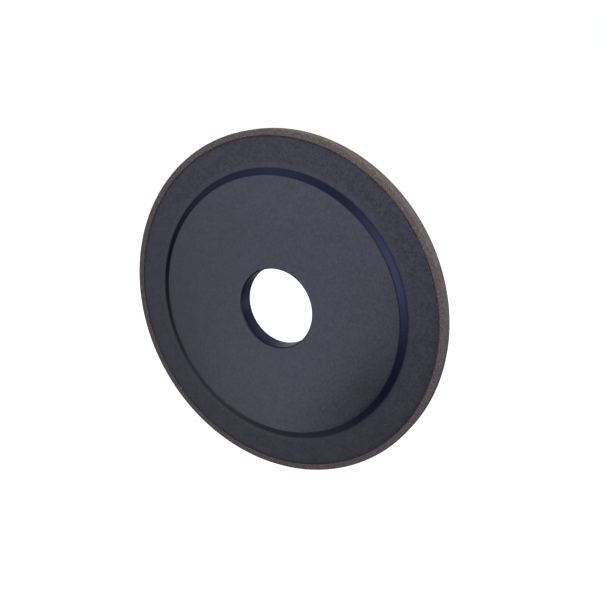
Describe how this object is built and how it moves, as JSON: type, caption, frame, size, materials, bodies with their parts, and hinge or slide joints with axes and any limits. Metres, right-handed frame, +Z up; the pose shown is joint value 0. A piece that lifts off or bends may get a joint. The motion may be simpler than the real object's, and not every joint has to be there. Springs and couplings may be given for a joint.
{
  "type": "diamond grinding wheel",
  "caption": "Flat diamond grinding wheel: moulded body with a raised clamping hub on both sides, a plain through bore and a thin resin-bonded diamond ring round its rim.",
  "frame": {"origin": "on the wheel's axis, in the middle of the spindle bore, midway between the two hub faces", "axes": "+Y along the wheel's axis, from the front face to the back face; +Z up with the wheel upright on its rim; +X to the right seen from the front"},
  "size_m": [0.22, 0.0114, 0.22],
  "materials": {
    "moulded_body": "satin",
    "bond": "matte",
    "diamond_abrasive": "matte"
  },
  "bodies": {
    "root": {"wheel_core": "moulded_body", "bond_layer": "bond", "diamond_rim": "diamond_abrasive"}
  },
  "joints": []
}
